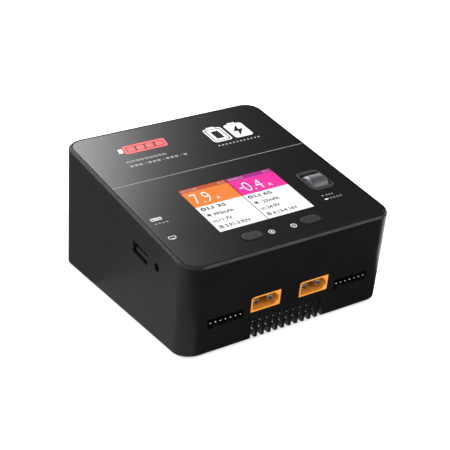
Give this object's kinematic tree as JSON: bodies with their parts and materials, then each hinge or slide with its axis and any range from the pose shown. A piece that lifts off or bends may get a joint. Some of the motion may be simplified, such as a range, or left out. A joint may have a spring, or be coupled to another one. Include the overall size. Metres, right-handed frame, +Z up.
{
  "type": "balance battery charger",
  "caption": "Wedge-shaped desktop battery charger with a tilted glossy top, colour display, jog wheel, two keys, main and balance outputs on the front, and a rear fan and mains inlet.",
  "frame": {"origin": "centre of the footprint, on the surface the feet stand on", "axes": "+X to the right, +Y rearward from the socket side, +Z up"},
  "size_m": [0.106, 0.126, 0.0653],
  "materials": {
    "black_abs": "fine moulded texture, satin",
    "gloss_panel": "polished, printed on the underside",
    "clear_window": "polished clear acrylic",
    "grey_abs": "satin",
    "wheel_metal": "brushed, bright chamfers",
    "steel": "plain",
    "white_plastic": "plain",
    "green_board": "solder mask",
    "button_grey": "satin",
    "display": "lit colour display",
    "ferrite": "dull",
    "cable_grey": "matte",
    "aluminium": "extruded",
    "winding_tape": "taped winding",
    "capacitor_sleeve": "shrink sleeve",
    "copper_winding": "enamelled copper",
    "fan_black": "moulded",
    "inlet_black": "moulded",
    "plated_pin": "plated",
    "amber_nylon": "slightly translucent nylon",
    "foot_rubber": "matte"
  },
  "bodies": {
    "console": {"main_housing": "black_abs", "bottom_cover": "black_abs", "top_panel": "gloss_panel", "display_window": "clear_window", "wheel_bezel": "grey_abs", "wheel_switch": "steel", "wheel_board": "green_board", "tact_switch_1": "steel", "tact_switch_2": "steel", "lcd_cell": "display", "lcd_backlight": "white_plastic", "lcd_holder": "black_abs", "ui_board": "green_board", "buzzer": "ferrite", "ribbon_cable": "cable_grey", "main_board": "green_board", "power_board": "green_board", "heatsink": "aluminium", "transformer_core": "ferrite", "transformer_coil": "winding_tape", "bulk_capacitor": "capacitor_sleeve", "mains_choke": "copper_winding", "output_inductor_1": "ferrite", "output_inductor_2": "ferrite", "fan_frame": "fan_black", "fan_screw_1": "steel", "fan_screw_2": "steel", "fan_cable": "cable_grey", "mains_inlet": "inlet_black", "inlet_line_blade": "plated_pin", "inlet_neutral_blade": "plated_pin", "inlet_earth_blade": "plated_pin", "battery_socket_1": "amber_nylon", "battery_socket_2": "amber_nylon", "battery_1_positive_pin": "plated_pin", "battery_1_negative_pin": "plated_pin", "battery_2_positive_pin": "plated_pin", "battery_2_negative_pin": "plated_pin", "balance_socket_1": "inlet_black", "balance_socket_2": "inlet_black", "balance_pins_1": "plated_pin", "balance_pins_2": "plated_pin", "usb_shell": "steel", "usb_tongue": "inlet_black", "link_jack": "inlet_black", "rubber_foot_1": "foot_rubber", "rubber_foot_2": "foot_rubber", "rubber_foot_3": "foot_rubber", "rubber_foot_4": "foot_rubber", "cover_screw_1": "steel", "cover_screw_2": "steel", "cover_screw_3": "steel", "cover_screw_4": "steel"},
    "wheel_carrier": {"wheel_cradle": "white_plastic", "wheel_encoder": "grey_abs"},
    "wheel": {"jog_wheel": "wheel_metal", "wheel_axle": "steel"},
    "button_one": {"button_1": "button_grey"},
    "button_two": {"button_2": "button_grey"},
    "fan": {"fan_rotor": "fan_black"}
  },
  "joints": [
    {"name": "wheel_press", "type": "slide", "parent": "console", "child": "wheel_carrier", "axis": [0, 0.1673, -0.9859], "range_m": [0, 0.0005], "stiffness_N_per_m": 2500},
    {"name": "wheel_spin", "type": "hinge", "parent": "wheel_carrier", "child": "wheel", "pos_m": [0.03685, -0.02442, 0.04808], "axis": [1, 0, 0], "continuous": true},
    {"name": "button_1_press", "type": "slide", "parent": "console", "child": "button_one", "axis": [0, 0.1673, -0.9859], "range_m": [0, 0.0005], "stiffness_N_per_m": 2500},
    {"name": "button_2_press", "type": "slide", "parent": "console", "child": "button_two", "axis": [0, 0.1673, -0.9859], "range_m": [0, 0.0005], "stiffness_N_per_m": 2500},
    {"name": "fan_spin", "type": "hinge", "parent": "console", "child": "fan", "pos_m": [-0.021, 0.04928, 0.03452], "axis": [0, 0.9859, 0.1673], "continuous": true}
  ]
}
